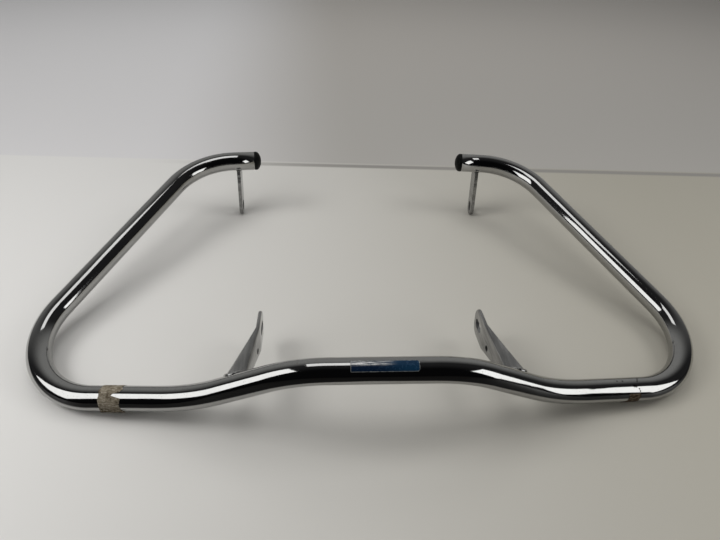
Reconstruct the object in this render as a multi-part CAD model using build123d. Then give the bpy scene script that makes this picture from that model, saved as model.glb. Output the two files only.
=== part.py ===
from build123d import *
from math import acos, cos, degrees, pi, radians, sin, sqrt, tan
import os

# Motorcycle crash bars: one bent tube that runs in front of the engine and back along both
# sides, with two pressed struts and two flat tabs welded on for bolting it to the frame.
# Millimetres. +X is to the right seen from the front run, +Y runs back along the arms and +Z
# is up. The bars lie at rest on the low corners of the tube and on the feet of the tabs, and
# the origin is on that ground, under the middle of the main tube's box.

# Main tube
tube_od = 25.0
tube_wall = 2.0

# Corners of the main tube's centre line on the right side, where its straight runs would
# meet: half is the distance from the middle, back and drop are from the raised front run.
# The tube's end is given from the corner at the top of its arm.
crown_half = 79.0
shoulder_half = 182.0
shoulder_back = 17.5
shoulder_drop = 59.0
outer_half = 400.0
outer_back = 43.0
outer_drop = 82.0
arm_top_half = 224.0
arm_top_back = 382.5
arm_top_drop = 8.0
end_reach_in = 77.5
end_reach_back = 7.5
end_sag = 1.0

# Bend radii of the centre line at those corners
crown_bend = 108.0
shoulder_bend = 161.0
outer_bend = 82.5
arm_top_bend = 92.0

# Lower struts: tubes pressed flat from one side into a bolting ear at the free end. The root
# is where a strut is still nearly round, a short way before the main tube.
strut_od = 22.0
strut_wall = 2.0
strut_setback = 12.0
root_inset = 7.2
root_flat = 10.0
ear_face_half = 118.0
ear_tip_back = 118.3
ear_tip_drop = 51.4
ear_length = 36.0
ear_corner = 11.0
ear_slot_width = 10.5
ear_slot_length = 20.0
ear_slot_from_tip = 16.0
hollow_start = 4.0
drain_hole = 6.5
drain_from_tip = 50.0
drain_below_axis = 5.0
drain_reach = 3.0

# Upper tabs: flat strips with a rounded foot and a slot
tab_thickness = 4.7
tab_width = 20.0
tab_inset = 21.5
tab_lean_back = 14.5
tab_slot_width = 9.0
tab_slot_length = 14.0
tab_slot_raise = 3.0

# Weld metal built up in the inner corners. The tabs are dressed back a little where their
# weld sits, so that their flat sides end just short of it.
strut_weld_leg = 2.2
tab_weld_leg = 1.8
tab_weld_bevel = 0.4
tab_weld_margin = 0.3

# Plastic plugs in the ends of the main tube
plug_band = 2.0
plug_dome = 7.0
plug_stem_length = 16.0
plug_stem_clearance = 1.0
plug_fin_clearance = 0.1
plug_fin_thickness = 1.2
plug_fin_count = 3
plug_hollow = 14.0

# Things stuck to the main tube: a foil label on the raised front run, a band of old tape on
# the left lower run and a patch of it on the right one. Angles are from the top of the tube
# towards its front, and the tape's places are from the start of the outer bend.
film_clearance = 0.1
label_thickness = 0.3
label_length = 62.0
label_offset = 2.0
label_height = 11.0
label_angle = 21.0
tape_thickness = 0.5
tape_length = 24.0
tape_from_bend = 19.7
tape_notch = 6.0
tape_notch_angle = 33.0
patch_thickness = 0.4
patch_length = 16.5
patch_from_bend = 14.7
patch_height = 16.0
patch_angle = 98.0

tube_radius = tube_od / 2
bore_radius = tube_radius - tube_wall
strut_radius = strut_od / 2
sideways = Vector(1, 0, 0)
upwards = Vector(0, 0, 1)


def corner(half, back, drop):
    return Vector(half, back, -drop)


def run_plane(start, end, distance):
    """Plane across a straight run, at a distance from its start, with local x to its front."""
    along = (end - start).normalized()
    front = along.cross(upwards).normalized()
    return Plane(origin=start + along * distance, x_dir=front, z_dir=along)


def rod(plane, radius, length):
    """Solid round bar centred on a plane."""
    return extrude(plane * Circle(radius), amount=length / 2, both=True)


# Main tube
crown_corner = corner(crown_half, 0, 0)
shoulder_corner = corner(shoulder_half, shoulder_back, shoulder_drop)
outer_corner = corner(outer_half, outer_back, outer_drop)
arm_top_corner = corner(arm_top_half, arm_top_back, arm_top_drop)
tube_end = corner(
    arm_top_half - end_reach_in, arm_top_back + end_reach_back, arm_top_drop + end_sag
)

right_corners = [crown_corner, shoulder_corner, outer_corner, arm_top_corner, tube_end]
left_corners = [Vector(-point.X, point.Y, point.Z) for point in reversed(right_corners)]
right_bends = [crown_bend, shoulder_bend, outer_bend, arm_top_bend]
all_bends = list(reversed(right_bends)) + right_bends
centre_line = FilletPolyline(*left_corners, *right_corners, radius=all_bends)
start_plane = Plane(origin=centre_line @ 0, z_dir=centre_line % 0)
tube_outside = sweep(start_plane * Circle(tube_radius), path=centre_line)
tube_inside = sweep(start_plane * Circle(bore_radius), path=centre_line)
main_tube = tube_outside - tube_inside
tube_box = tube_outside.bounding_box()
ground = tube_box.min.Z
middle_back = tube_box.center().Y

# Lower strut, in its own frame: local x is out from the inner face, local y is up across the
# ear and local z runs from the ear's tip to the main tube.
root_depth = sqrt(strut_radius ** 2 - (root_flat / 2) ** 2)
strut_axis_half = ear_face_half + root_inset + root_depth
slope_direction = (shoulder_corner - crown_corner).normalized()
strut_along = (strut_axis_half - crown_half) / slope_direction.X
slope_plane = run_plane(crown_corner, shoulder_corner, strut_along)
strut_tip = corner(ear_face_half, ear_tip_back, ear_tip_drop)
seat = slope_plane.origin
strut_run = Vector(0, seat.Y - strut_tip.Y, seat.Z - strut_tip.Z)
strut_length = strut_run.length
strut_plane = Plane(origin=strut_tip, x_dir=sideways, z_dir=strut_run)
ear_plane = Plane(origin=strut_tip, x_dir=strut_plane.z_dir, z_dir=sideways)
ear_thickness = 2 * strut_wall
ear_height = pi * (strut_od - strut_wall) / 2 + strut_wall
root_station = strut_length - strut_setback


def pressed_section(station, inner, thickness, height):
    """Tube pressed to two parallel sides with half-round edges."""
    edge_radius = thickness / 2
    side = height / 2 - edge_radius
    outer = inner + thickness
    middle = inner + edge_radius
    edges = [
        Line((inner, -side), (inner, side)),
        ThreePointArc((inner, side), (middle, height / 2), (outer, side)),
        Line((outer, side), (outer, -side)),
        ThreePointArc((outer, -side), (middle, -height / 2), (inner, -side)),
    ]
    return strut_plane.offset(station) * make_face(edges)


def round_section(station, inner, radius, flat):
    """Round tube with a flat of the given height pressed into its inner side."""
    depth = sqrt(radius ** 2 - (flat / 2) ** 2)
    centre = inner + depth
    flat_turn = pi - acos(depth / radius)
    side_turn = pi / 4

    def on_circle(turn):
        return (centre + radius * cos(turn), radius * sin(turn))

    middle_turn = (flat_turn + side_turn) / 2
    edges = [
        Line((inner, -flat / 2), (inner, flat / 2)),
        ThreePointArc((inner, flat / 2), on_circle(middle_turn), on_circle(side_turn)),
        ThreePointArc(on_circle(side_turn), on_circle(0), on_circle(-side_turn)),
        ThreePointArc(on_circle(-side_turn), on_circle(-middle_turn), (inner, -flat / 2)),
    ]
    return strut_plane.offset(station) * make_face(edges)


def flat_inside(grow):
    """Height of the inner flat when the root's outline is grown all round."""
    return 2 * sqrt((strut_radius + grow) ** 2 - (root_depth + grow) ** 2)


def between(share, first, last):
    return first + (last - first) * share


# Ear: the pressed tube, cut to an outline with two rounded corners
ear_blank = extrude(pressed_section(0, 0, ear_thickness, ear_height), amount=ear_length)
ear_outline = Rectangle(ear_length, ear_height, align=(Align.MIN, Align.CENTER))
ear_outline = fillet(ear_outline.vertices().group_by(Axis.X)[0], ear_corner)
ear = ear_blank & extrude(ear_plane * ear_outline, amount=ear_thickness)

# The tube opens from the ear to the root and runs on to the main tube's centre line
ear_end = pressed_section(ear_length, 0, ear_thickness, ear_height)
root = round_section(root_station, root_inset, strut_radius, root_flat)
strut_solid = ear + loft([ear_end, root], ruled=True) + extrude(root, amount=strut_setback)

# Hollow of the tube, from just past the ear
hollow_share = hollow_start / (root_station - ear_length)
hollow_inner = between(hollow_share, 0, root_inset) + strut_wall
root_thickness = strut_radius + root_depth
hollow_thickness = between(hollow_share, 0, root_thickness - ear_thickness)
hollow_height = between(hollow_share, ear_height, strut_od) - ear_thickness
hollow_mouth = pressed_section(
    ear_length + hollow_start, hollow_inner, hollow_thickness, hollow_height
)
root_bore = round_section(
    root_station, root_inset + strut_wall, strut_radius - strut_wall, flat_inside(-strut_wall)
)
strut_hollow = loft([hollow_mouth, root_bore], ruled=True)
strut_hollow += extrude(root_bore, amount=strut_setback)

# Slot through the ear and a drain hole through the inner wall
slot_place = Pos(ear_slot_from_tip, 0) * SlotOverall(ear_slot_length, ear_slot_width)
ear_slot = extrude(ear_plane * slot_place, amount=2 * ear_thickness, both=True)
drain_share = (drain_from_tip - ear_length) / (root_station - ear_length)
drain_depth = between(drain_share, 0, root_inset) + drain_reach
drain_place = Pos(drain_from_tip, drain_below_axis) * Circle(drain_hole / 2)
drain = extrude(ear_plane * drain_place, amount=drain_depth)

lower_strut = strut_solid - strut_hollow - ear_slot - drain - tube_outside

# Weld round the strut's root: the root and the tube, both grown, without what they hold
weld_reach = 3 * tube_od
grown_rod = rod(slope_plane, tube_radius + strut_weld_leg, weld_reach)
weld_start = root_station - strut_setback / 2
grown_root = round_section(
    weld_start,
    root_inset - strut_weld_leg,
    strut_radius + strut_weld_leg,
    flat_inside(strut_weld_leg),
)
grown_root = extrude(grown_root, amount=strut_length - weld_start)
strut_weld = (grown_root & grown_rod) - tube_outside - strut_solid

# Upper tab: a strip that leans back from its foot on the ground to the end run's centre line
end_plane = run_plane(tube_end, arm_top_corner, tab_inset)
tab_top = end_plane.origin
tab_foot = Vector(tab_top.X, tab_top.Y - tab_lean_back, ground + tab_width / 2)
tab_rise = tab_top - tab_foot
tab_plane = Plane(origin=tab_foot, x_dir=tab_rise, z_dir=sideways)


def tab_blank(grow):
    """Strip with a rounded foot, grown all round by a margin."""
    width = tab_width + 2 * grow
    strip = Rectangle(tab_rise.length, width, align=(Align.MIN, Align.CENTER))
    outline = tab_plane * (strip + Circle(width / 2))
    return extrude(outline, amount=tab_thickness / 2 + grow, both=True)


tab_slot_place = Pos(tab_slot_raise, 0) * SlotOverall(tab_slot_length, tab_slot_width)
tab_slot = extrude(tab_plane * tab_slot_place, amount=tab_thickness, both=True)
grown_end_rod = rod(end_plane, tube_radius + tab_weld_leg, weld_reach)
neck_rod = rod(end_plane, tube_radius + tab_weld_leg + tab_weld_margin, weld_reach)
tab_neck = tab_blank(-tab_weld_bevel) & neck_rod
upper_tab = (tab_blank(0) - neck_rod) + tab_neck - tab_slot - tube_outside
tab_weld = (tab_blank(tab_weld_leg) & grown_end_rod) - tube_outside - upper_tab

# End plug: a domed head as wide as the tube, and a hollow stem with fins that grip the bore.
# The half profile is drawn once and turned round the plug's axis.
plug_plane = run_plane(arm_top_corner, tube_end, (tube_end - arm_top_corner).length)
stem_radius = bore_radius - plug_stem_clearance
fin_radius = bore_radius - plug_fin_clearance
fin_pitch = plug_stem_length / plug_fin_count
stem_side = []
for index in range(plug_fin_count):
    fin_top = -index * fin_pitch - (fin_pitch - plug_fin_thickness) / 2
    fin_base = fin_top - plug_fin_thickness
    stem_side += [(stem_radius, fin_top), (fin_radius, fin_top)]
    stem_side += [(fin_radius, fin_base), (stem_radius, fin_base)]
cap_radius = (tube_radius ** 2 + plug_dome ** 2) / (2 * plug_dome)
cap_centre = plug_band + plug_dome - cap_radius
cap_turn = degrees(acos(tube_radius / cap_radius))
dome = CenterArc((0, cap_centre), cap_radius, cap_turn, 90 - cap_turn)
profile = Polyline(
    (0, plug_band + plug_dome),
    (0, 0),
    (plug_hollow / 2, 0),
    (plug_hollow / 2, -plug_stem_length),
    (stem_radius, -plug_stem_length),
    *reversed(stem_side),
    (stem_radius, 0),
    (tube_radius, 0),
    (tube_radius, plug_band),
)
half_section = Plane.XZ * make_face([profile, dome])
end_plug = plug_plane * revolve(half_section, Axis.Z)


def wrap(plane, thickness, length, height, angle):
    """Part of a thin sleeve round the tube, centred at an angle from the top to the front."""
    inside = tube_radius + film_clearance
    outside = inside + thickness
    half_turn = height / tube_radius / 2

    def at(radius, turn):
        return (radius * cos(turn), radius * sin(turn))

    edges = [
        ThreePointArc(at(inside, -half_turn), at(inside, 0), at(inside, half_turn)),
        Line(at(inside, half_turn), at(outside, half_turn)),
        ThreePointArc(at(outside, half_turn), at(outside, 0), at(outside, -half_turn)),
        Line(at(outside, -half_turn), at(inside, -half_turn)),
    ]
    section = plane * Rot(0, 0, angle - 90) * make_face(edges)
    return extrude(section, amount=length / 2, both=True)


# Foil label, tape band with a torn notch, and tape patch
crown_plane = Plane(origin=(label_offset, 0, 0), x_dir=-Vector(0, 1, 0), z_dir=sideways)
foil_label = wrap(crown_plane, label_thickness, label_length, label_height, label_angle)

lower_run = outer_corner - shoulder_corner
outer_turn = radians(lower_run.get_angle(arm_top_corner - outer_corner))
bend_start = lower_run.length - outer_bend * tan(outer_turn / 2)
patch_run = run_plane(shoulder_corner, outer_corner, bend_start - patch_from_bend)
tape_patch = wrap(patch_run, patch_thickness, patch_length, patch_height, patch_angle)

tape_run = run_plane(shoulder_corner, outer_corner, bend_start - tape_from_bend)
tape_inside = tube_radius + film_clearance
tape_outer = rod(tape_run, tape_inside + tape_thickness, tape_length)
tape_sleeve = tape_outer - rod(tape_run, tape_inside, tape_length)
outward = (Align.CENTER, Align.CENTER, Align.MIN)
notch = Rot(0, 90, 0) * Cylinder(tape_notch, tube_od, align=outward)
notch = Pos(0, 0, -tape_length / 2) * Rot(0, 0, tape_notch_angle - 90) * notch
tape_band = tape_sleeve - tape_run * notch

to_ground = Pos(0, -middle_back, -ground)
right_parts = {
    "lower_strut": lower_strut,
    "strut_weld": strut_weld,
    "upper_tab": upper_tab,
    "tab_weld": tab_weld,
    "end_plug": end_plug,
}
parts = {"main_tube": main_tube, "foil_label": foil_label, "tape_patch": tape_patch}
parts["tape_band"] = mirror(tape_band, about=Plane.YZ)
for name, solid in right_parts.items():
    parts[name + "_right"] = solid
    parts[name + "_left"] = mirror(solid, about=Plane.YZ)

os.makedirs("parts", exist_ok=True)
for name, solid in parts.items():
    export_step(to_ground * solid, os.path.join("parts", name + ".step"))
    print(name, round((to_ground * solid).volume, 1))
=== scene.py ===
# %% [markdown]
# Motorcycle crash bars, dressed for a picture.
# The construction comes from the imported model: one bent tube, two pressed struts, two flat
# tabs, weld metal, two end plugs, a foil label and some old tape. This lesson gives every
# piece a clean surface that chrome can show well, and a worn finish.
# Everything is in metres, +Z is up and +Y runs back along the arms.

# %% Load the frame
import bmesh
import bpy
from math import cos, pi, radians, sin, sqrt, tan
from mathutils import Matrix, Vector, noise


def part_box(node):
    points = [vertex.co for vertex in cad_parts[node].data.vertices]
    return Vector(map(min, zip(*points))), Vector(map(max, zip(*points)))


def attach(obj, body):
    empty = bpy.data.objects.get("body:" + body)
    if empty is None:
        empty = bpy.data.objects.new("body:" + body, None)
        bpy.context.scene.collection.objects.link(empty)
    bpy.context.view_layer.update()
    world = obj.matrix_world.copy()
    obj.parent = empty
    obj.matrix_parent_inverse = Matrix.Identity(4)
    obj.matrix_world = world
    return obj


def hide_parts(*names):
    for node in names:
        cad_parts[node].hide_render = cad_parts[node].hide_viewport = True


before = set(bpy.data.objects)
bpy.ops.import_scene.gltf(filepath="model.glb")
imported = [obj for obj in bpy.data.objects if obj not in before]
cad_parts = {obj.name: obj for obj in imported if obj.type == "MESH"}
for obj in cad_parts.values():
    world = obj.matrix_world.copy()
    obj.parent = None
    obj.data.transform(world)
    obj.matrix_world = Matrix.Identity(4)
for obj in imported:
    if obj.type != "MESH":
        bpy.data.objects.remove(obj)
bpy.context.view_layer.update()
mm = 0.001

# %% [markdown]
# Blender's mesh tools act on whatever is selected, and the loaded nodes start out selected.
# So one helper clears the selection, and another selects vertices by a test on their place,
# which is what a box select does by hand.

# %% Helpers that select
def deselect_all():
    if bpy.context.mode != "OBJECT":
        bpy.ops.object.mode_set(mode="OBJECT")
    bpy.ops.object.select_all(action="DESELECT")


def pick(test):
    """Select the vertices of the mesh in edit mode whose place passes a test."""
    mesh = bpy.context.object.data
    bpy.ops.mesh.select_mode(type="VERT")
    bpy.ops.mesh.select_all(action="DESELECT")
    shape = bmesh.from_edit_mesh(mesh)
    chosen = [vertex for vertex in shape.verts if test(vertex.co)]
    for vertex in chosen:
        vertex.select = True
    shape.select_flush(True)
    bmesh.update_edit_mesh(mesh)
    return len(chosen)


# %% [markdown]
# Most of this object is round bar and tube, so most pieces start as a ring. The ring is added
# square to a direction, its object's turn is put into the mesh at once, and it is then
# extruded and resized in edit mode.

# %% Helpers that draw
def turn_to(direction, side=None):
    """Rotation that takes local Z to a direction and local X to the nearest side."""
    along = direction.normalized()
    if side is None:
        return along.to_track_quat("Z", "Y").to_matrix().to_4x4()
    across = (side - along * side.dot(along)).normalized()
    return Matrix((across, along.cross(across), along)).transposed().to_4x4()


def start_circle(name, radius, place, direction, vertices=64, fill="NOTHING"):
    """A ring in edit mode, square to a direction."""
    deselect_all()
    turned = turn_to(direction).to_euler()
    bpy.ops.mesh.primitive_circle_add(
        vertices=vertices, radius=radius, fill_type=fill, location=place, rotation=turned
    )
    bpy.context.object.name = name
    bpy.ops.object.transform_apply(location=True, rotation=True, scale=True)
    bpy.ops.object.mode_set(mode="EDIT")
    bpy.ops.mesh.select_all(action="SELECT")
    return bpy.context.object


def extrude_by(step):
    bpy.ops.mesh.extrude_region_move(TRANSFORM_OT_translate={"value": step})


def resize_about(centre, factors):
    bpy.ops.transform.resize(value=factors, center_override=centre, orient_type="GLOBAL")


# %% [markdown]
# A piece is finished the same way each time: back to object mode, its place put into its
# mesh, doubled vertices merged, faces turned outwards and the shading set. Modifiers are
# applied as soon as they are added, so that the next step works on real geometry.

# %% Helpers that finish
doubles_within = 0.002 * mm


def settle(piece, smooth_angle=30):
    """Leave edit mode, put the object's place into its mesh, mend it and shade it."""
    if bpy.context.mode != "OBJECT":
        bpy.ops.object.mode_set(mode="OBJECT")
    deselect_all()
    piece.select_set(True)
    bpy.context.view_layer.objects.active = piece
    bpy.ops.object.transform_apply(location=True, rotation=True, scale=True)
    bpy.ops.object.mode_set(mode="EDIT")
    bpy.ops.mesh.select_all(action="SELECT")
    bpy.ops.mesh.remove_doubles(threshold=doubles_within)
    bpy.ops.mesh.normals_make_consistent(inside=False)
    bpy.ops.object.mode_set(mode="OBJECT")
    bpy.ops.object.shade_smooth_by_angle(angle=radians(smooth_angle))
    return piece


def apply_modifier(piece, kind, **settings):
    """Add one modifier, set it up and apply it at once."""
    modifier = piece.modifiers.new(kind.title(), kind)
    for setting, value in settings.items():
        setattr(modifier, setting, value)
    deselect_all()
    piece.select_set(True)
    bpy.context.view_layer.objects.active = piece
    bpy.ops.object.modifier_apply(modifier=modifier.name)


def cut(piece, cutter):
    """Cut one shape out of another; the cutter is then thrown away."""
    apply_modifier(piece, "BOOLEAN", operation="DIFFERENCE", solver="EXACT", object=cutter)
    bpy.data.objects.remove(cutter)


def mirrored(piece, name):
    """A copy with its own mesh, on the other side of the middle."""
    copy = piece.copy()
    copy.data = piece.data.copy()
    copy.name = name
    bpy.context.scene.collection.objects.link(copy)
    copy.scale.x = -1
    return settle(copy)


# %% [markdown]
# The camera stands in front of the bars, 0.5 m above the table, and looks down at 40
# degrees. Its place was found by fitting the tube's outline to the photograph. Setting it up
# from its three axes, and not by eye, lets the small roll of a hand-held camera come in.

# %% Camera
camera_place = Vector((-0.0556, -0.5456, 0.4980))
pitch, yaw, roll = radians(39.95), radians(5.03), radians(-3.07)
focal_pixels, image_width, sensor_width = 593.9, 720, 36.0

forward = Vector((sin(yaw) * cos(pitch), cos(yaw) * cos(pitch), -sin(pitch)))
level = Vector((cos(yaw), -sin(yaw), 0))
down = forward.cross(level)
camera_right = level * cos(roll) + down * sin(roll)
camera_down = down * cos(roll) - level * sin(roll)
camera_data = bpy.data.cameras.new("camera")
camera_data.sensor_width = sensor_width
camera_data.lens = focal_pixels * sensor_width / image_width
camera = bpy.data.objects.new("camera", camera_data)
axes = Matrix((camera_right, -camera_down, -forward)).transposed().to_4x4()
camera.matrix_world = Matrix.Translation(camera_place) @ axes
bpy.context.scene.collection.objects.link(camera)
bpy.context.scene.camera = camera
print("lens", round(camera_data.lens, 1), "mm")

# %% [markdown]
# The main tube is one length of 25 mm tube on a bending plan, as a tube bender works: corner
# points where its straight runs would meet, and a bend radius at each. The plan's start comes
# from the tube's own box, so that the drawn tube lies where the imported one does.

# %% Bending plan of the main tube
tube_radius = 12.5 * mm
tube_wall = 2 * mm
tube_low, tube_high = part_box("main_tube")
front_y = tube_low.y + tube_radius
front_z = tube_high.z - tube_radius


def corner(half, back, drop):
    """Corner in the tube's plan: from the middle, behind the front run and below it."""
    return Vector((half * mm, front_y + back * mm, front_z - drop * mm))


crown = corner(79, 0, 0)
shoulder = corner(182, 17.5, 59)
outer = corner(400, 43, 82)
arm_top = corner(224, 382.5, 8)
tube_end = corner(146.5, 390, 9)
right_half = [crown, shoulder, outer, arm_top, tube_end]
left_half = [Vector((-point.x, point.y, point.z)) for point in reversed(right_half)]
plan = left_half + right_half
outer_bend = 82.5 * mm
right_bends = [108 * mm, 161 * mm, outer_bend, 92 * mm]
bends = right_bends[::-1] + right_bends
print("plan has", len(plan), "points and", len(bends), "bends")

# %% [markdown]
# By hand the tube is one ring, extruded along every straight run and spun round the centre of
# every bend. A curve with a round bevel would be quicker, but its rings bunch up in the
# bends. Spin keeps the quads even, and chrome shows any unevenness at once.

# %% Draw the ring along the plan
ring_points = 96
degrees_per_step = 2.0
here = plan[0]
main_tube = start_circle("chrome_main_tube", tube_radius, here, plan[1] - plan[0], ring_points)
for before, at, after, bend in zip(plan, plan[1:], plan[2:], bends):
    arrive, leave = (at - before).normalized(), (after - at).normalized()
    bend_turn = arrive.angle(leave)
    bend_start = at - arrive * bend * tan(bend_turn / 2)
    extrude_by(bend_start - here)
    inward = (leave - arrive * arrive.dot(leave)).normalized()
    bend_centre = bend_start + inward * bend
    bend_axis = arrive.cross(leave).normalized()
    steps = max(4, round(bend_turn / radians(degrees_per_step)))
    bpy.ops.mesh.spin(steps=steps, angle=-bend_turn, center=bend_centre, axis=bend_axis)
    here = at + leave * bend * tan(bend_turn / 2)
extrude_by(plan[-1] - here)
settle(main_tube, smooth_angle=60)
drawn_low = Vector(map(min, *[vertex.co for vertex in main_tube.data.vertices]))
drawn_high = Vector(map(max, *[vertex.co for vertex in main_tube.data.vertices]))
print("tube's box off the packed one by", (drawn_low - tube_low)[:], (drawn_high - tube_high)[:])

# %% [markdown]
# The real tube has a 2 mm wall, so the skin drawn above gets its thickness inwards with
# Solidify. The rings at its two ends are then the cut faces of the tube.

# %% Wall of the main tube
apply_modifier(main_tube, "SOLIDIFY", thickness=tube_wall, offset=-1)
print("main tube has", len(main_tube.data.polygons), "faces")

# %% [markdown]
# An end plug is a turned part: a stem that grips the bore, a short band as wide as the tube
# and a domed head. One ring is extruded and resized from the stem's end to the top of the
# dome, as on a lathe, and the last ring is merged to a point.

# %% Turning a part
def turned_part(name, place, direction, profile, vertices=64):
    """Turn a profile of (radius, height) pairs about a direction; it ends on the axis."""
    along = direction.normalized()
    first_radius, first_height = profile[0]
    start = place + along * first_height
    piece = start_circle(name, first_radius, start, along, vertices, fill="NGON")
    for (radius, height), (next_radius, next_height) in zip(profile, profile[1:]):
        extrude_by(along * (next_height - height))
        share = next_radius / radius
        resize_about(place + along * next_height, (share, share, share))
    bpy.ops.mesh.merge(type="CENTER")
    return settle(piece, smooth_angle=40)


# %% [markdown]
# The plug's dome is a quarter of an ellipse in its profile. A small chamfer between the step
# and the band is what catches the light where the plug meets the tube.

# %% End plugs
stem_radius = tube_radius - tube_wall - 0.5 * mm
stem_length = 16 * mm
band_height = 2 * mm
band_chamfer = 0.3 * mm
dome_height = 7 * mm
dome_top_radius = 0.2 * mm
dome_rings = 14

plug_profile = [(stem_radius, -stem_length), (stem_radius, 0), (tube_radius - band_chamfer, 0)]
plug_profile += [(tube_radius, band_chamfer), (tube_radius, band_height)]
for ring in range(1, dome_rings):
    rise = ring / dome_rings * pi / 2
    plug_profile.append((tube_radius * cos(rise), band_height + dome_height * sin(rise)))
plug_profile.append((dome_top_radius, band_height + dome_height))
plug_right = turned_part("rubber_end_plug_right", tube_end, tube_end - arm_top, plug_profile)
plug_left = mirrored(plug_right, "rubber_end_plug_left")
print("end plug has", len(plug_right.data.polygons), "faces")

# %% [markdown]
# A lower strut is a piece of 22 mm tube that was pressed from one side. At its free end it
# is a flat ear, two walls thick, and towards the main tube it opens to a round. The ear's
# height isn't free: it is half of the round tube's own girth, as pressing leaves it.

# %% Sizes of the lower strut
strut_radius = 11 * mm
strut_wall = 2 * mm
ear_thickness = 2 * strut_wall
ear_height = pi * (strut_radius - strut_wall / 2) + strut_wall
ear_length = 36 * mm
ear_corner = 11 * mm
root_flat = 10 * mm
root_inset = 7.2 * mm
root_setback = 12 * mm
root_depth = sqrt(strut_radius ** 2 - (root_flat / 2) ** 2)
outwards = Vector((1, 0, 0))
ear_tip = corner(118, 118.3, 51.4)
slope = (shoulder - crown).normalized()
strut_half = ear_tip.x + root_inset + root_depth
seat = crown + slope * (strut_half - crown.x) / slope.x
strut_run = Vector((0, seat.y - ear_tip.y, seat.z - ear_tip.z))
strut_length = strut_run.length
strut_place = Matrix.Translation(ear_tip) @ turn_to(strut_run, outwards)
root_station = strut_length - root_setback
print("strut is", round(strut_length / mm, 1), "mm long, ear", round(ear_height / mm, 1), "mm high")

# %% [markdown]
# The strut is modelled upright at the world's origin, with its inner face on X = 0 and the
# tip of its ear at Z = 0, and is moved to its place at the end. Its ear starts as a rectangle
# whose corners are bevelled to half rounds. The flat sides are cut into short pieces, so that
# the ring has as many points as the round one that it will be joined to.

# %% Ring of the ear
inner_cuts, outer_cuts, round_cuts = 12, 16, 9
ring_count = inner_cuts + outer_cuts + 4 * round_cuts
near = 0.001 * mm
deselect_all()
bpy.ops.mesh.primitive_plane_add(size=1, location=(ear_thickness / 2, 0, ear_length))
strut_right = bpy.context.object
strut_right.name = "pressed_lower_strut_right"
strut_right.scale = (ear_thickness, ear_height, 1)
bpy.ops.object.transform_apply(location=True, rotation=True, scale=True)
bpy.ops.object.mode_set(mode="EDIT")
bpy.ops.mesh.select_all(action="SELECT")
bpy.ops.mesh.delete(type="ONLY_FACE")
bpy.ops.mesh.select_all(action="SELECT")
bpy.ops.mesh.bevel(
    offset=ear_thickness / 2, offset_type="OFFSET", segments=round_cuts, affect="VERTICES"
)
bpy.ops.mesh.select_all(action="SELECT")
bpy.ops.mesh.remove_doubles(threshold=10 * near)
pick(lambda co: co.x < near)
bpy.ops.mesh.subdivide(number_cuts=inner_cuts - 1)
pick(lambda co: co.x > ear_thickness - near)
bpy.ops.mesh.subdivide(number_cuts=outer_cuts - 1)
print("points in the ear's ring", len(bmesh.from_edit_mesh(strut_right.data).verts), "of", ring_count)

# %% [markdown]
# The round end is a circle with its inner points pressed on to a flat. Bridge Edge Loops then
# draws straight lines between the two rings. A press leaves just such a ruled surface.

# %% Skin from the ear to the root
bridge_cuts = 24
root_centre = Vector((root_inset + root_depth, 0, root_station))
bpy.ops.mesh.select_all(action="DESELECT")
bpy.ops.mesh.primitive_circle_add(
    vertices=ring_count, radius=strut_radius, location=root_centre, rotation=(0, 0, pi / 2)
)
pick(lambda co: co.z > root_station - mm and co.x < root_inset)
resize_about((root_inset, 0, root_station), (0, 1, 1))
pick(lambda co: True)
bpy.ops.mesh.bridge_edge_loops(number_cuts=bridge_cuts, interpolation="LINEAR")
print("skin has", len(bmesh.from_edit_mesh(strut_right.data).faces), "faces")

# %% [markdown]
# From the root the round tube runs on into the main tube. From the ear the pressed end runs
# out to the tip, and its height shrinks along a quarter circle to round the two corners. The
# wall is a little under half of the ear, so that the two sides don't touch inside it.

# %% Root and tip of the lower strut
tip_steps = 10
gap_in_ear = 0.2 * mm
pick(lambda co: co.z > root_station - 10 * near)
extrude_by(Vector((0, 0, root_setback)))
pick(lambda co: abs(co.z - ear_length) < 10 * near)
height_here = ear_height / 2
station = ear_length
for step in range(tip_steps + 1):
    tip_turn = step / tip_steps * pi / 2
    next_station = ear_corner * (1 - sin(tip_turn))
    next_height = ear_height / 2 - ear_corner * (1 - cos(tip_turn))
    extrude_by(Vector((0, 0, next_station - station)))
    resize_about((0, 0, next_station), (1, next_height / height_here, 1))
    station, height_here = next_station, next_height
bpy.ops.mesh.edge_face_add()
settle(strut_right, smooth_angle=20)
apply_modifier(strut_right, "SOLIDIFY", thickness=strut_wall - gap_in_ear / 2, offset=-1)
settle(strut_right, smooth_angle=20)
print("strut with its wall has", len(strut_right.data.polygons), "faces")

# %% [markdown]
# Holes are cut with Booleans, as they are punched and drilled in the real strut. A slot's
# cutter is a round bar whose two halves are pulled apart, so its ends stay true half rounds.

# %% Slot and drain hole of the lower strut
ear_slot_width, ear_slot_length, ear_slot_from_tip = 10.5 * mm, 20 * mm, 16 * mm
drain_radius, drain_from_tip, drain_below = 3.25 * mm, 50 * mm, 5 * mm
drain_start, drain_depth = -2 * mm, 6.6 * mm


def slot_cutter(centre, direction, stretch, radius, depth):
    """Round bar along a direction, pulled out both ways by half of a stretch."""
    start = centre - direction * depth / 2
    cutter = start_circle("cutter", radius, start, direction, fill="NGON")
    extrude_by(direction * depth)
    pull = stretch.normalized()
    pick(lambda co: (co - centre).dot(pull) > near)
    bpy.ops.transform.translate(value=stretch / 2)
    pick(lambda co: (co - centre).dot(pull) < -near)
    bpy.ops.transform.translate(value=-stretch / 2)
    return settle(cutter)


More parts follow.
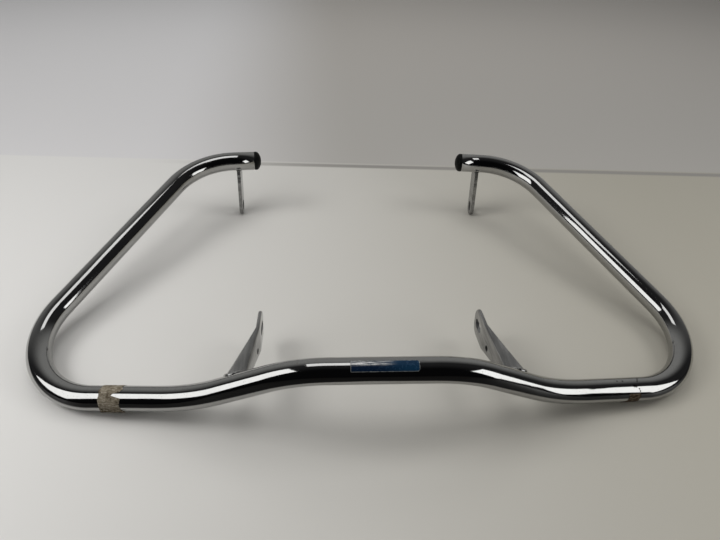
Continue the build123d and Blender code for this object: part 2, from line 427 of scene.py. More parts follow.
ear_slot_centre = Vector((ear_thickness / 2, 0, ear_slot_from_tip))
ear_stretch = Vector((0, 0, ear_slot_length - ear_slot_width))
cut(strut_right, slot_cutter(
    ear_slot_centre, outwards, ear_stretch, ear_slot_width / 2, 3 * ear_thickness
))
drain_place = Vector((drain_start, -drain_below, drain_from_tip))
drain = start_circle("cutter", drain_radius, drain_place, outwards, vertices=32, fill="NGON")
extrude_by(outwards * drain_depth)
cut(strut_right, settle(drain))
print("strut with its holes has", len(strut_right.data.polygons), "faces")

# %% [markdown]
# The strut is now moved to its place, and its root is cut to the shape of the main tube with
# a bar as thick as that tube, which a fitter calls a fish mouth. The left strut is a mirror
# copy with its own mesh.

# %% Seat of the lower struts
def tube_cutter(middle, direction):
    """A bar as thick as the main tube, round a point of one of its straight runs."""
    cutter_length = 80 * mm
    start = middle - direction.normalized() * cutter_length / 2
    cutter = start_circle("cutter", tube_radius, start, direction, ring_points, "NGON")
    extrude_by(direction.normalized() * cutter_length)
    return settle(cutter)


strut_right.matrix_world = strut_place
settle(strut_right, smooth_angle=20)
cut(strut_right, tube_cutter(seat, slope))
settle(strut_right)
strut_left = mirrored(strut_right, "pressed_lower_strut_left")
print("struts meet the tube", round(seat.x / mm, 1), "mm from the middle")

# %% [markdown]
# An upper tab is a flat strip that stands on its rounded foot and leans back to the tube. It
# is a thin disc whose upper half is pulled up to the tube, so that its foot is a true half
# round. It gets a slot, a seat for the tube and softened edges, because plate never has sharp
# ones.

# %% Upper tabs
tab_thickness, tab_width = 4.7 * mm, 20 * mm
tab_inset, tab_lean_back = 21.5 * mm, 14.5 * mm
tab_slot_width, tab_slot_length, tab_slot_raise = 9 * mm, 14 * mm, 3 * mm
tab_edge, tab_edge_segments = 0.6 * mm, 3
end_run = (arm_top - tube_end).normalized()
tab_top = tube_end + end_run * tab_inset
tab_foot = Vector((tab_top.x, tab_top.y - tab_lean_back, tab_width / 2))
tab_rise = tab_top - tab_foot
tab_along = tab_rise.normalized()
tab_start = tab_foot - outwards * tab_thickness / 2
tab_right = start_circle("flat_upper_tab_right", tab_width / 2, tab_start, outwards, fill="NGON")
pick(lambda co: (co - tab_foot).dot(tab_rise) > -near)
bpy.ops.transform.translate(value=tab_rise)
bpy.ops.mesh.select_all(action="SELECT")
extrude_by(outwards * tab_thickness)
settle(tab_right)
tab_slot_centre = tab_foot + tab_along * tab_slot_raise
tab_stretch = tab_along * (tab_slot_length - tab_slot_width)
cut(tab_right, slot_cutter(
    tab_slot_centre, outwards, tab_stretch, tab_slot_width / 2, 3 * tab_thickness
))
cut(tab_right, tube_cutter(tab_top, end_run))
settle(tab_right)
apply_modifier(
    tab_right, "BEVEL", width=tab_edge, segments=tab_edge_segments,
    limit_method="ANGLE", angle_limit=radians(50),
)
settle(tab_right)
tab_left = mirrored(tab_right, "flat_upper_tab_left")
print("tab rises", round(tab_rise.length / mm, 1), "mm and has", len(tab_right.data.polygons), "faces")

# %% [markdown]
# Weld metal is laid down in small overlapping drops, which is why a bead looks like a row of
# tipped-over coins. Each bead is drawn as drops along the seam, where the wall of the strut
# or tab meets the round tube, and a voxel remesh melts them into one skin.

# %% Helpers for weld beads
def seam_point(start, direction, axis_point, axis_direction):
    """Where a line from a start meets a round bar as thick as the main tube."""
    across = (start - axis_point) - axis_direction * (start - axis_point).dot(axis_direction)
    move = direction - axis_direction * direction.dot(axis_direction)
    square, half = move.dot(move), across.dot(move)
    reach = half * half - square * (across.dot(across) - tube_radius ** 2)
    return start + direction * (-half - sqrt(max(reach, 0))) / square


def weld_bead(name, seam, leg, pitch, voxel):
    """One bead of drops along a closed seam."""
    uneven, uneven_scale = 0.12, 3 * mm
    deselect_all()
    bead = None
    travelled, next_drop, count = 0.0, 0.0, 0
    for here, ahead in zip(seam, seam[1:] + seam[:1]):
        gap = (ahead - here).length
        while next_drop <= travelled + gap:
            place = here.lerp(ahead, (next_drop - travelled) / gap)
            size = leg * (1 + uneven * noise.noise(place / uneven_scale))
            bpy.ops.mesh.primitive_ico_sphere_add(subdivisions=2, radius=size, location=place)
            if bead is None:
                bead = bpy.context.object
                bead.name = name
                bpy.ops.object.transform_apply(location=True, rotation=True, scale=True)
                bpy.ops.object.mode_set(mode="EDIT")
            next_drop += pitch
            count += 1
        travelled += gap
    bpy.ops.object.mode_set(mode="OBJECT")
    apply_modifier(bead, "REMESH", mode="VOXEL", voxel_size=voxel, use_smooth_shade=True)
    apply_modifier(bead, "SMOOTH", factor=0.5, iterations=3)
    print(name, "has", count, "drops and", len(bead.data.polygons), "faces")
    return settle(bead, smooth_angle=80)


# %% [markdown]
# A strut's seam starts as the round of its root, with the pressed flat on its inner side.
# Every point of it is sent along the strut until it meets the main tube.

# %% Beads round the struts
seam_points = 90
seam_share = 0.6
strut_axis_place = Vector((root_inset + root_depth, 0, seam_share * root_station))
strut_seam = []
for step in range(seam_points):
    seam_turn = 2 * pi * step / seam_points
    across = max(strut_radius * cos(seam_turn), -root_depth)
    ring_point = strut_axis_place + Vector((across, strut_radius * sin(seam_turn), 0))
    strut_seam.append(seam_point(strut_place @ ring_point, strut_run.normalized(), crown, slope))
weld_right = weld_bead(
    "strut_weld_bead_right", strut_seam, leg=2.1 * mm, pitch=1.7 * mm, voxel=0.45 * mm
)
weld_left = mirrored(weld_right, "strut_weld_bead_left")

# %% [markdown]
# A tab's seam is the outline of the strip. It is walked corner by corner, and its points are
# sent up the tab until they meet the tube. Its drops are smaller, because the plate is thin.

# %% Beads round the tabs
points_per_side, tab_share = 20, 0.4
tab_across = outwards.cross(tab_along)
half_width, half_thickness = tab_width / 2, tab_thickness / 2
tab_corners = [(1, 1), (-1, 1), (-1, -1), (1, -1)]
tab_seam = []
for (width_1, thick_1), (width_2, thick_2) in zip(tab_corners, tab_corners[1:] + tab_corners[:1]):
    for step in range(points_per_side):
        share = step / points_per_side
        width_share = width_1 + (width_2 - width_1) * share
        thick_share = thick_1 + (thick_2 - thick_1) * share
        start = tab_foot + tab_rise * tab_share
        start += tab_across * half_width * width_share + outwards * half_thickness * thick_share
        tab_seam.append(seam_point(start, tab_along, tab_top, end_run))
tab_bead_right = weld_bead(
    "tab_weld_bead_right", tab_seam, leg=1.7 * mm, pitch=1.5 * mm, voxel=0.4 * mm
)
tab_bead_left = mirrored(tab_bead_right, "tab_weld_bead_left")

# %% [markdown]
# Label and tape are sheets, so they are cut out flat and then wrapped on the tube: a sheet's
# X runs along the tube, its Y is a length of arc and its Z is the height above the tube. A
# sheet modelled flat is easy to tear, round off and wrinkle.

# %% Helpers for sheets on the tube
up = Vector((0, 0, 1))


def surface_point(middle, along, angle, height=0):
    """Point on the tube round a place on its axis; angle is from its top to its front."""
    front = along.cross(up).normalized()
    top = front.cross(along)
    return middle + (top * cos(angle) + front * sin(angle)) * (tube_radius + height)


def wrap_on_tube(sheet, middle, along, angle):
    """Lay a flat sheet round a straight run, with the sheet's middle at an angle."""
    along = along.normalized()
    for vertex in sheet.data.vertices:
        x, y, z = vertex.co
        vertex.co = surface_point(middle + along * x, along, angle - y / tube_radius, z)


def flat_grid(name, length, height, across, around):
    """A flat sheet round the origin, cut into a grid."""
    deselect_all()
    bpy.ops.mesh.primitive_grid_add(x_subdivisions=across, y_subdivisions=around, size=1)
    sheet = bpy.context.object
    sheet.name = name
    sheet.scale = (length, height, 1)
    bpy.ops.object.transform_apply(location=True, rotation=True, scale=True)
    return sheet


# %% [markdown]
# The foil label is a thin strip with rounded right corners and a narrow pale border, which
# is one Inset. Straight cuts along it let it bend round the tube.

# %% Foil label
film_thickness, label_lift = 0.22 * mm, 0.05 * mm
label_length, label_height, label_offset = 62 * mm, 11 * mm, 2 * mm
label_border, right_corner, left_corner = 0.55 * mm, 2.6 * mm, 0.6 * mm
label_angle = radians(21)
label_strips = 22
label = flat_grid("worn_foil_label", label_length, label_height, 1, 1)
bpy.ops.object.mode_set(mode="EDIT")
pick(lambda co: co.x > 0)
bpy.ops.mesh.bevel(offset=right_corner, segments=8, affect="VERTICES")
pick(lambda co: co.x < 0)
bpy.ops.mesh.bevel(offset=left_corner, segments=3, affect="VERTICES")
bpy.ops.mesh.select_all(action="SELECT")
bpy.ops.mesh.inset(thickness=label_border)
label_shape = bmesh.from_edit_mesh(label.data)
for face in label_shape.faces:
    face.material_index = 0 if face.select else 1
bmesh.update_edit_mesh(label.data)
for strip in range(1, label_strips):
    bpy.ops.mesh.select_all(action="SELECT")
    cut_height = label_height * (strip / label_strips - 0.5)
    bpy.ops.mesh.bisect(plane_co=(0, cut_height, 0), plane_no=(0, 1, 0))
bpy.ops.object.mode_set(mode="OBJECT")
for vertex in label.data.vertices:
    vertex.co.z = label_lift
wrap_on_tube(label, Vector((label_offset, front_y, front_z)), outwards, label_angle)
apply_modifier(label, "SOLIDIFY", thickness=film_thickness, offset=1)
settle(label)
print("label has", len(label.data.polygons), "faces")

# %% [markdown]
# Old tape is never cut straight. Its sheet is a fine grid whose rows are pulled longer or
# shorter, so that its ends are torn, and whose surface is wrinkled with the same kind of
# noise. The noise has no seed of its own, so each sheet reads it at another place.

# %% Helpers for torn sheets
sheet_cell = 0.6 * mm


def torn_sheet(name, length, height, left_end, right_end, rise, wrinkle, seed):
    """A wrinkled sheet with ragged ends; left_end and right_end give each row's reach."""
    across, around = round(length / sheet_cell), round(height / sheet_cell)
    sheet = flat_grid(name, length, height, across, around)
    for vertex in sheet.data.vertices:
        x, y, _ = vertex.co
        share = x / length + 0.5
        low, high = left_end(y), right_end(y)
        spot = Vector((x, y, seed * mm)) / mm
        vertex.co.x = low + (high - low) * share
        bumps = noise.noise(spot / 5) + 0.6 * noise.noise(spot / 1.8) + 0.3 * noise.noise(spot)
        vertex.co.z = rise + wrinkle * bumps
    return sheet


def ragged(y, seed, coarse, fine):
    """Random reach of a torn end at a row, in metres."""
    spot = Vector((y / mm, seed, 0))
    return coarse * noise.noise(spot / 6) + fine * noise.noise(spot * 1.3)


def bulge(y, reach, centre, half_width):
    """The full reach at the centre, falling smoothly to nothing at the half width."""
    away = min(abs(y - centre) / half_width, 1)
    return reach * (1 - away * away) ** 2


# %% [markdown]
# Both pieces of tape lie on the lower runs, and their places are counted from where the outer
# bend starts, because that is easy to measure on the real bars.

# %% Places on the lower run
lower_run = outer - shoulder
outer_turn = lower_run.angle(arm_top - outer)
bend_from_shoulder = lower_run.length - outer_bend * tan(outer_turn / 2)


def before_bend(distance):
    """Point on the right lower run's axis, at a distance before the outer bend."""
    return shoulder + lower_run.normalized() * (bend_from_shoulder - distance)


print("straight of the lower run ends", round(bend_from_shoulder / mm, 1), "mm from its corner")

# %% [markdown]
# The band goes once round the left run. Its right end has a notch torn out of the middle, a
# tongue above it and a strand below, and its lower edge has come away from the tube.

# %% Tape band
band_middle = before_bend(19.7 * mm)
band_middle.x = -band_middle.x
band_along = Vector((lower_run.x, -lower_run.y, -lower_run.z))
band_reach_left, band_reach_right = -6.8 * mm, 14.5 * mm
band_angle = radians(40)


def band_left(y):
    return band_reach_left + ragged(y, 3, 1.3 * mm, 0.7 * mm)


def band_right(y):
    """Torn end; each bulge is a reach, a place round the tube and a half width."""
    notch = bulge(y, 9 * mm, 3.4 * mm, 3.6 * mm)
    tongue = bulge(y, 1.7 * mm, 10 * mm, 3 * mm)
    strand = bulge(y, 4.5 * mm, -14.5 * mm, 1.8 * mm)
    return band_reach_right + ragged(y, 9, 1.4 * mm, 0.8 * mm) - notch + tongue + strand


band = torn_sheet(
    "old_tape_band", band_reach_right - band_reach_left, 2 * pi * tube_radius,
    band_left, band_right, rise=0.25 * mm, wrinkle=0.16 * mm, seed=5,
)
for vertex in band.data.vertices:
    lifted = bulge(vertex.co.y, 1.2 * mm, -16 * mm, 5 * mm)
    vertex.co.z += lifted
wrap_on_tube(band, band_middle, band_along, band_angle)
apply_modifier(band, "SOLIDIFY", thickness=film_thickness, offset=-1)
settle(band, smooth_angle=50)
print("tape band has", len(band.data.polygons), "faces")

# %% [markdown]
# The patch is a scrap left on the front of the right run, with a pointed tail at its bottom
# left, where it tore off.

# %% Tape patch
patch_middle = before_bend(18.5 * mm)
patch_length, patch_round = 16.5 * mm, 15 * mm
torn_back, patch_thickness = 3.5 * mm, 0.2 * mm
patch_angle = radians(94)


def patch_left(y):
    tail = bulge(y, 6 * mm, -6 * mm, 2.2 * mm)
    return -patch_length / 2 + torn_back + ragged(y, 17, 1.5 * mm, 0.6 * mm) - tail


def patch_right(y):
    bite = bulge(y, 3 * mm, -7.5 * mm, 4 * mm)
    return patch_length / 2 + ragged(y, 23, 1.6 * mm, 0.6 * mm) - bite


patch = torn_sheet(
    "old_tape_patch", patch_length, patch_round,
    patch_left, patch_right, rise=0.25 * mm, wrinkle=0.12 * mm, seed=11,
)
wrap_on_tube(patch, patch_middle, lower_run, patch_angle)
apply_modifier(patch, "SOLIDIFY", thickness=patch_thickness, offset=-1)
settle(patch, smooth_angle=50)
print("tape patch has", len(patch.data.polygons), "faces")

# %% [markdown]
# Materials are built from nodes. The usual chain is a noise in object coordinates, squeezed
# by a ramp, that drives a colour or a roughness. Object coordinates are metres on every
# finished piece here, so one scale means the same size of grain everywhere.

# %% Helpers for colour and roughness
def new_material(name, **sockets):
    """A principled material with its constant sockets set."""
    material = bpy.data.materials.new(name)
    material.use_nodes = True
    shader = material.node_tree.nodes["Principled BSDF"]
    for socket, value in sockets.items():
        title = socket.replace("_", " ").title().replace("Ior", "IOR")
        shader.inputs[title].default_value = value
    return material, material.node_tree, shader


def add_noise(tree, scale, detail=4, roughness=0.55, stretch=(1, 1, 1)):
    """Noise on object coordinates, which a small stretch draws out along an axis."""
    place = tree.nodes.new("ShaderNodeTexCoord")
    mapping = tree.nodes.new("ShaderNodeMapping")
    mapping.inputs["Scale"].default_value = stretch
    cloud = tree.nodes.new("ShaderNodeTexNoise")
    cloud.inputs["Scale"].default_value = scale
    cloud.inputs["Detail"].default_value = detail
    cloud.inputs["Roughness"].default_value = roughness
    tree.links.new(place.outputs["Object"], mapping.inputs["Vector"])
    tree.links.new(mapping.outputs["Vector"], cloud.inputs["Vector"])
    return cloud.outputs["Fac"]


def add_ramp(tree, factor, stops):
    """Colour ramp; each stop is (position, colour or grey)."""
    ramp = tree.nodes.new("ShaderNodeValToRGB")
    while len(ramp.color_ramp.elements) < len(stops):
        ramp.color_ramp.elements.new(0.5)
    for element, (position, colour) in zip(ramp.color_ramp.elements, stops):
        element.position = position
        element.color = (*colour, 1) if isinstance(colour, tuple) else (colour,) * 3 + (1,)
    tree.links.new(factor, ramp.inputs["Fac"])
    return ramp.outputs["Color"]


def add_mix(tree, factor, first, second):
    """Colour mix of two sockets or colours."""
    mix = tree.nodes.new("ShaderNodeMix")
    mix.data_type = "RGBA"
    tree.links.new(factor, mix.inputs["Factor"])
    for source, socket in ((first, mix.inputs["A"]), (second, mix.inputs["B"])):
        if isinstance(source, tuple):
            socket.default_value = (*source, 1)
        else:
            tree.links.new(source, socket)
    return mix.outputs["Result"]


# %% [markdown]
# Wear is seldom the same all over. These helpers say where on a piece something happens: a
# smooth step along an axis, or a small spot at a place. A bump can lie on another bump, so
# that pits sit on a wavy surface.

# %% Helpers for place and bump
def add_place(tree):
    """Object coordinates, and their X, Y and Z apart."""
    place = tree.nodes.new("ShaderNodeTexCoord")
    parts = tree.nodes.new("ShaderNodeSeparateXYZ")
    tree.links.new(place.outputs["Object"], parts.inputs["Vector"])
    return place.outputs["Object"], parts.outputs


def add_range(tree, value, low, high):
    """Nought at low, one at high, smooth between; low may be the larger."""
    span = tree.nodes.new("ShaderNodeMapRange")
    span.interpolation_type = "SMOOTHSTEP"
    span.inputs["From Min"].default_value = low
    span.inputs["From Max"].default_value = high
    tree.links.new(value, span.inputs["Value"])
    return span.outputs["Result"]


def add_math(tree, operation, *values):
    """One sum of sockets and plain numbers."""
    sum_node = tree.nodes.new("ShaderNodeMath")
    sum_node.operation = operation
    for value, socket in zip(values, sum_node.inputs):
        if isinstance(value, (int, float)):
            socket.default_value = value
        else:
            tree.links.new(value, socket)
    return sum_node.outputs["Value"]


def add_spots(tree, spots):
    """One at each (place, radius), nought away from them."""
    together = None
    for place, radius in spots:
        gap = tree.nodes.new("ShaderNodeVectorMath")
        gap.operation = "DISTANCE"
        gap.inputs[1].default_value = place
        tree.links.new(add_place(tree)[0], gap.inputs[0])
        spot = add_range(tree, gap.outputs["Value"], radius * 1.2, radius * 0.6)
        together = spot if together is None else add_math(tree, "MAXIMUM", together, spot)
    return together


def add_bump(tree, shader, height, strength, distance, under=None):
    """Bump on a shader, on top of another bump's normal where one is given."""
    bump = tree.nodes.new("ShaderNodeBump")
    bump.inputs["Strength"].default_value = strength
    bump.inputs["Distance"].default_value = distance
    tree.links.new(height, bump.inputs["Height"])
    if under is not None:
        tree.links.new(under, bump.inputs["Normal"])
    tree.links.new(bump.outputs["Normal"], shader.inputs["Normal"])
    return bump.outputs["Normal"]


# %% [markdown]
# Chrome plate reflects roughly half of the light, a little less blue than red; a tone just
# under that keeps its dark stripes dark. It is never quite clean: handling leaves faint
# smudges that spread the reflections, and old plate has tiny dull pits and dark chips. Bent
# and pressed metal is never quite true either, and a slow wave under the plate bends what it
# reflects. Streaks from the press and the buffing wheel run along each piece.

# %% Chrome
def chrome(name, metal, tone, fade, clean, smudged, chips, pit_depth, wave_scale, wave_height):
    """Plate of a tone, faded in its streaks, with a roughness from clean to smudged."""
    material, tree, shader = new_material(name, metallic=metal)
    smudges = add_noise(tree, 22, 5, 0.6)
    streaks = add_noise(tree, 260, 3, 0.5, (1, 0.07, 1))
    specks = add_noise(tree, 900, 2, 0.5)
    pits = add_ramp(tree, specks, [(0.66, 0.0), (0.74, 1.0)])
    bright, dull = (tone, tone, tone * 0.985), (tone * 0.88, tone * 0.87, tone * 0.84)
    plate = add_ramp(tree, smudges, [(0.35, bright), (0.75, dull)])
    faded = (tone * fade, tone * fade, tone * fade * 0.98)
    plate = add_mix(tree, add_ramp(tree, streaks, [(0.42, 1.0), (0.62, 0.0)]), plate, faded)
    colour = add_mix(tree, pits, plate, (tone * 0.45, tone * 0.42, tone * 0.38))
    colour = add_mix(tree, add_spots(tree, chips), colour, (0.03, 0.025, 0.02))
    tree.links.new(colour, shader.inputs["Base Color"])
    rough = add_ramp(tree, smudges, [(0.4, clean), (0.72, smudged)])
    tree.links.new(rough, shader.inputs["Roughness"])
    wave = add_noise(tree, wave_scale, 2, 0.4, (1, 0.4, 1))
    waved = add_bump(tree, shader, wave, 1.0, wave_height)
    add_bump(tree, shader, pits, 0.25, -pit_depth, under=waved)
    return material


# %% [markdown]
# The dark chips are near the scrap of tape on the right lower run, where it took plate with
# it. Each is given by its distance before the outer bend, its angle from the tube's top to
# its front, and its radius, and its middle lies just under the skin. One more sits beside the
# root of the left strut.

# %% Chips in the plate
chip_depth = 0.15 * mm
chip_plan = [
    (8.35, -24, 0.9), (9.4, -16.5, 0.9), (10.4, -8.5, 0.9), (11.65, -0.5, 0.9),
    (28.15, -5.5, 1.0), (34.35, -7, 0.9), (17.2, 23, 1.6), (15.05, 25.5, 1.3),
    (12.1, 37, 0.9), (11.2, 47.5, 0.9),
]
run_along = lower_run.normalized()
tube_chips = []
for distance, angle, radius in chip_plan:
    chip = surface_point(before_bend(distance * mm), run_along, radians(angle), -chip_depth)
    tube_chips.append((chip, radius * mm))
left_seat = Vector((-seat.x, seat.y, seat.z))
root_chips = [(left_seat + Vector((-3.0, 9.4, 10.3)) * mm, 1.2 * mm)]
print("chips in the tube", len(tube_chips), "and at the left strut", len(root_chips))

# %% [markdown]
# The tube was buffed to a mirror. The brackets were not, so they are darker and rougher,
# and a part of their plate is plain grey that scatters the light. Weld metal is rougher
# still, because no wheel gets into its ripples.

# %% Three grades of chrome
tube_chrome = chrome(
    "tube_chrome", metal=1.0, tone=0.42, fade=0.94, clean=0.045, smudged=0.10,
    chips=tube_chips, pit_depth=0.02 * mm, wave_scale=40, wave_height=0.2 * mm,
)
bracket_chrome = chrome(
    "bracket_chrome", metal=0.82, tone=0.34, fade=0.6, clean=0.12, smudged=0.24,
    chips=root_chips, pit_depth=0.05 * mm, wave_scale=110, wave_height=0.5 * mm,
)
weld_chrome = chrome(
    "weld_chrome", metal=1.0, tone=0.42, fade=0.80, clean=0.14, smudged=0.28,
    chips=root_chips, pit_depth=0.08 * mm, wave_scale=200, wave_height=0.1 * mm,
)
print("a grade of chrome has", len(tube_chrome.node_tree.nodes), "nodes on the tube")

# %% [markdown]
# The plugs are black moulded plastic with a fine grain and a little dust. Black plastic in a
# bright room looks grey if its gloss is left as it comes, so its specular level is low.

# %% Plug plastic
plug_plastic, tree, shader = new_material("plug_plastic", roughness=0.5, specular_ior_level=0.12)
dust = add_ramp(tree, add_noise(tree, 160, 5, 0.6), [(0.45, 0.002), (0.8, 0.009)])
tree.links.new(dust, shader.inputs["Base Color"])
add_bump(tree, shader, add_noise(tree, 1800, 2, 0.5), 0.3, 0.05 * mm)
print("plug plastic has", len(tree.nodes), "nodes")

# %% [markdown]
# The tape is paper backing and old glue: streaked along the tube, blotched and without gloss.
# The band on the left is greyer, and darker in patches towards its bottom, where it hangs low.
# The patch on the right has lost its paper and shows brown glue. One material does both, with a
# step along X.

# %% Old tape
old_tape, tree, shader = new_material("old_tape", roughness=0.92, specular_ior_level=0.2)
_, axis = add_place(tree)
fibres = add_noise(tree, 260, 6, 0.7, (1.0, 3.5, 3.5))
paper = [(0.32, (0.07, 0.055, 0.038)), (0.5, (0.18, 0.155, 0.115)), (0.68, (0.36, 0.33, 0.27))]
brown = [(0.38, (0.012, 0.007, 0.003)), (0.52, (0.06, 0.04, 0.022)), (0.68, (0.20, 0.165, 0.12))]
dirt = add_ramp(tree, add_noise(tree, 190, 4, 0.65), [(0.5, 0.0), (0.66, 0.85)])
# Darker patches on the band below 15 to 20 mm, towards its bottom.
low_end = add_range(tree, axis["Z"], 20 * mm, 15 * mm)
low_dark_patches = add_ramp(tree, add_noise(tree, 420, 3, 0.6), [(0.46, 0.0), (0.54, 1.0)])
dirt = add_math(tree, "MAXIMUM", dirt, add_math(tree, "MULTIPLY", low_end, low_dark_patches))
band_tone = add_mix(tree, dirt, add_ramp(tree, fibres, paper), (0.045, 0.032, 0.018))
on_right = add_range(tree, axis["X"], -0.1, 0.1)
tape_tone = add_mix(tree, on_right, band_tone, add_ramp(tree, fibres, brown))
tree.links.new(tape_tone, shader.inputs["Base Color"])
add_bump(tree, shader, fibres, 0.8, 0.25 * mm)
print("old tape has", len(tree.nodes), "nodes")

# %% [markdown]
# The label is a deep blue metal foil. It is brighter blue towards the right. Along its upper
# left a drawn-out noise, masked by place, paints pale silver specks where the lamp's stripe
# crosses it: rubbed-down foil and a painted highlight together.

# %% Foil
label_foil, tree, shader = new_material("label_foil", metallic=0.45)
_, axis = add_place(tree)
rightward = add_range(tree, axis["X"], -10 * mm, 22 * mm)
sheen = add_noise(tree, 90, 3, 0.5, (0.4, 1.5, 1.5))
teal_part = add_math(tree, "MULTIPLY", rightward, sheen)
blue = add_mix(tree, teal_part, (0.006, 0.018, 0.045), (0.012, 0.062, 0.13))
upper = add_range(tree, axis["Y"], front_y - 5.2 * mm, front_y - 3.2 * mm)
leftward = add_range(tree, axis["X"], 14 * mm, -4 * mm)
# Painted highlight and wear: pale silver specks along the upper left, where the lamp's bright stripe
# lies.
rub_and_glint_noise = add_noise(tree, 420, 5, 0.7, (0.13, 2.4, 2.4))
worn_and_glint = add_ramp(tree, rub_and_glint_noise, [(0.43, 0.0), (0.6, 0.95)])
bare_and_painted_highlight = add_math(tree, "MULTIPLY", add_math(tree, "MULTIPLY", upper, leftward), worn_and_glint)
tree.links.new(add_mix(tree, bare_and_painted_highlight, blue, (0.7, 0.7, 0.68)), shader.inputs["Base Color"])
scuffs = add_ramp(tree, add_noise(tree, 300, 4, 0.6), [(0.4, 0.16), (0.75, 0.4)])
tree.links.new(scuffs, shader.inputs["Roughness"])
print("foil has", len(tree.nodes), "nodes")

# %% [markdown]
# The border is the same foil without its blue lacquer: dull silver, patchy where dirt has
# gathered along it.

# %% Border of the label
label_edge, tree, shader = new_material("label_edge", metallic=0.7)
silver = [(0.35, (0.12, 0.13, 0.13)), (0.7, (0.45, 0.46, 0.44))]
edge_tone = add_ramp(tree, add_noise(tree, 500, 3, 0.6), silver)
tree.links.new(edge_tone, shader.inputs["Base Color"])
edge_rough = add_ramp(tree, add_noise(tree, 700), [(0.3, 0.35), (0.7, 0.6)])
tree.links.new(edge_rough, shader.inputs["Roughness"])
print("border has", len(tree.nodes), "nodes")

# %% [markdown]
# Each piece now takes its material, rides on the body and stands for its node.
# The label keeps two materials, so its faces' indices are read before it is dressed.

# %% Dress the pieces
def dress(piece, node, slot, *materials):
    piece.data.materials.clear()
    for material in materials:
        piece.data.materials.append(material)
    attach(piece, "root")
    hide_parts(node)


dress(main_tube, "main_tube", "tube_chrome", tube_chrome)
for piece, node in ((strut_right, "lower_strut_right"), (strut_left, "lower_strut_left"),
                    (tab_right, "upper_tab_right"), (tab_left, "upper_tab_left")):
    dress(piece, node, "bracket_chrome", bracket_chrome)
for piece, node in ((weld_right, "strut_weld_right"), (weld_left, "strut_weld_left"),
                    (tab_bead_right, "tab_weld_right"), (tab_bead_left, "tab_weld_left")):
    dress(piece, node, "weld_chrome", weld_chrome)
dress(plug_right, "end_plug_right", "plug_plastic", plug_plastic)
dress(plug_left, "end_plug_left", "plug_plastic", plug_plastic)
dress(band, "tape_band", "old_tape", old_tape)
dress(patch, "tape_patch", "old_tape", old_tape)
label_faces = [face.material_index for face in label.data.polygons]
dress(label, "foil_label", "label_foil", label_foil, label_edge)
for face, index in zip(label.data.polygons, label_faces):
    face.material_index = index
print("label has", label_faces.count(1), "faces in its border and rim")

# %% [markdown]
# The bars lie on a pale floor, painted lighter and cooler on the left as a pool of light from
# that side. Behind them its tone changes along a thin line that isn't quite square to the bars;
# the line is a painted gap shadow, and further back the floor is painted lighter, which makes up
# for the light that falls off there. A flat floor with two tones looks the same from the front
# as a real step would, and it doesn't block the view from behind.

# %% Floor
bpy.ops.mesh.primitive_plane_add(size=12)
floor = bpy.context.object
floor.name = "floor"
floor_paint, tree, shader = new_material("floor_paint", roughness=0.55, specular_ior_level=0.25)
spot, axis = add_place(tree)
# Painted light: the colour is lighter and cooler on the left, where more light falls, and darker to
# the right.
less_light_to_right = add_range(tree, axis["X"], -0.5, 0.5)
floor_tone = add_mix(tree, less_light_to_right, (0.64, 0.63, 0.61), (0.38, 0.36, 0.305))

back_line, line_slant = 0.318, (0.032, 1, 0)
backward = tree.nodes.new("ShaderNodeVectorMath")
backward.operation = "DOT_PRODUCT"
backward.inputs[1].default_value = line_slant
tree.links.new(spot, backward.inputs[0])
back = backward.outputs["Value"]
behind = add_range(tree, back, back_line, back_line + 5 * mm)
further_right = add_range(tree, axis["X"], -0.36, 0.02)
# Painted light behind the line as well: lighter on the left, darker to the right, and lighter further
# back to make up for the light that falls off there.
near_tone = add_mix(tree, further_right, (0.60, 0.59, 0.59), (0.385, 0.37, 0.345))
far_painted_light = add_mix(tree, further_right, (0.76, 0.75, 0.75), (0.50, 0.475, 0.44))
back_tone = add_mix(tree, add_range(tree, axis["Y"], 0.35, 1.1), near_tone, far_painted_light)
floor_tone = add_mix(tree, behind, floor_tone, back_tone)
# Painted shadow: a thin dark line where the two tones meet, darker towards the right.
line_start = add_range(tree, back, back_line - 13 * mm, back_line - 8 * mm)
line_end = add_range(tree, back, back_line + 3 * mm, back_line - 3 * mm)
gap_shadow_line = add_math(tree, "MULTIPLY", line_start, line_end)
gap_shadow_line = add_math(tree, "MULTIPLY", gap_shadow_line, further_right)
floor_tone = add_mix(tree, gap_shadow_line, floor_tone, (0.27, 0.26, 0.24))
print("floor tone changes", round(back_line / mm), "mm behind the middle")

# %% [markdown]
# Chrome's black stripe is a painted reflection. The floor's colour turns black from the front
# of the bars outwards, but only for the rays that chrome sends out, so the floor stays pale from
# every side and only the chrome shows the painted dark. Its edge follows the bars: the lower
# they run, the nearer it comes.

# %% Painted dark reflection for the chrome
dark_edge_follows = -0.32
dark_edge_start, dark_edge_full = -0.276, -0.292
front_start, front_full = -0.345, -0.42
sideways = add_math(tree, "ABSOLUTE", axis["X"])
dark_edge_line = add_math(tree, "MULTIPLY_ADD", sideways, dark_edge_follows, axis["Y"])
painted_dark_near = add_range(tree, dark_edge_line, dark_edge_start, dark_edge_full)
painted_dark_front = add_range(tree, axis["Y"], front_start, front_full)
painted_dark_reflection = add_math(tree, "MAXIMUM", painted_dark_front, painted_dark_near)
ray = tree.nodes.new("ShaderNodeLightPath")
painted_dark_reflection = add_math(tree, "MULTIPLY", painted_dark_reflection, ray.outputs["Is Glossy Ray"])
# Painted reflection: a near-black colour in front of the bars that only the chrome shows.
floor_tone = add_mix(tree, painted_dark_reflection, floor_tone, (0.015, 0.0145, 0.014))
tree.links.new(floor_tone, shader.inputs["Base Color"])
floor.data.materials.append(floor_paint)
print("card starts", round(-dark_edge_start / mm), "mm in front of the middle")

# %% [markdown]
# Chrome shows its surroundings more than itself, so the world is a part of its finish. It is
# grey behind the bars, dim at the sides and nearly black behind the camera. A world texture's
# Generated coordinates are the direction of a ray, so its Y says how far back it looks.

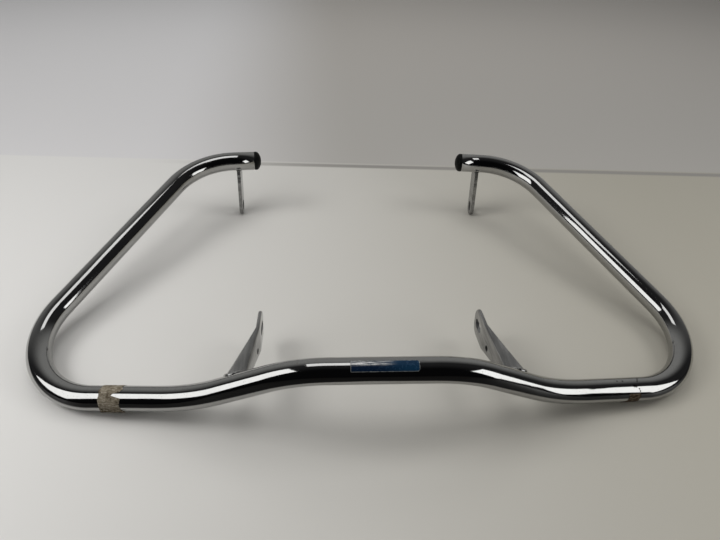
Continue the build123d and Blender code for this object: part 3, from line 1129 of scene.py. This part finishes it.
# %% World
world = bpy.data.worlds.new("room")
bpy.context.scene.world = world
world.use_nodes = True
tree = world.node_tree
look = tree.nodes.new("ShaderNodeTexCoord")
parts = tree.nodes.new("ShaderNodeSeparateXYZ")
tree.links.new(look.outputs["Generated"], parts.inputs["Vector"])
at_sides = add_range(tree, parts.outputs["Y"], -0.6, 0.1)
at_back = add_range(tree, parts.outputs["Y"], 0.2, 0.8)
room = add_mix(tree, at_sides, (0.004, 0.004, 0.0045), (0.025, 0.025, 0.026))
room = add_mix(tree, at_back, room, (0.325, 0.325, 0.32))
tree.links.new(room, tree.nodes["Background"].inputs["Color"])
print("world has", len(tree.nodes), "nodes")

# %% [markdown]
# Narrow soft boxes give chrome its bright stripes. They are too small to light the floor
# softly, so wide ones that chrome doesn't show fill it. All of them face the middle of the
# bars, and none shows to the camera.

# %% Lamps
along_x, along_y = Vector((1, 0, 0)), Vector((0, 1, 0))


def soft_box(name, place, width, height, power, long_side=along_x, seen_in_chrome=True):
    """An area lamp that faces the middle of the bars, its width along a direction."""
    lamp_data = bpy.data.lights.new(name, "AREA")
    lamp_data.shape = "RECTANGLE"
    lamp_data.size, lamp_data.size_y = width, height
    lamp_data.energy = power
    lamp = bpy.data.objects.new(name, lamp_data)
    lamp.visible_camera = False
    lamp.visible_glossy = seen_in_chrome
    lamp.matrix_world = Matrix.Translation(Vector(place)) @ turn_to(Vector(place), long_side)
    bpy.context.scene.collection.objects.link(lamp)
    print(name, "gives", power, "W")


soft_box("box_above", (-0.2, 0.25, 1.5), 0.6, 0.58, 1.7)
soft_box("box_at_left", (-0.8, -0.33, 0.57), 0.54, 0.78, 2.7, along_y)
soft_box("box_at_right", (0.8, -0.45, 0.34), 0.42, 0.5, 1.4, along_y)
soft_box("fill_above", (0, 0, 1.7), 2.0, 1.4, 8.5, seen_in_chrome=False)
soft_box("fill_left", (-1.3, 0, 1.2), 0.6, 0.6, 9.5, along_y, seen_in_chrome=False)
soft_box("fill_right", (1.3, 0.1, 1.2), 0.6, 0.6, 6, along_y, seen_in_chrome=False)
soft_box("fill_back", (0, 1.0, 1.6), 0.9, 0.6, 3, seen_in_chrome=False)
bpy.context.scene.view_settings.view_transform = "Standard"
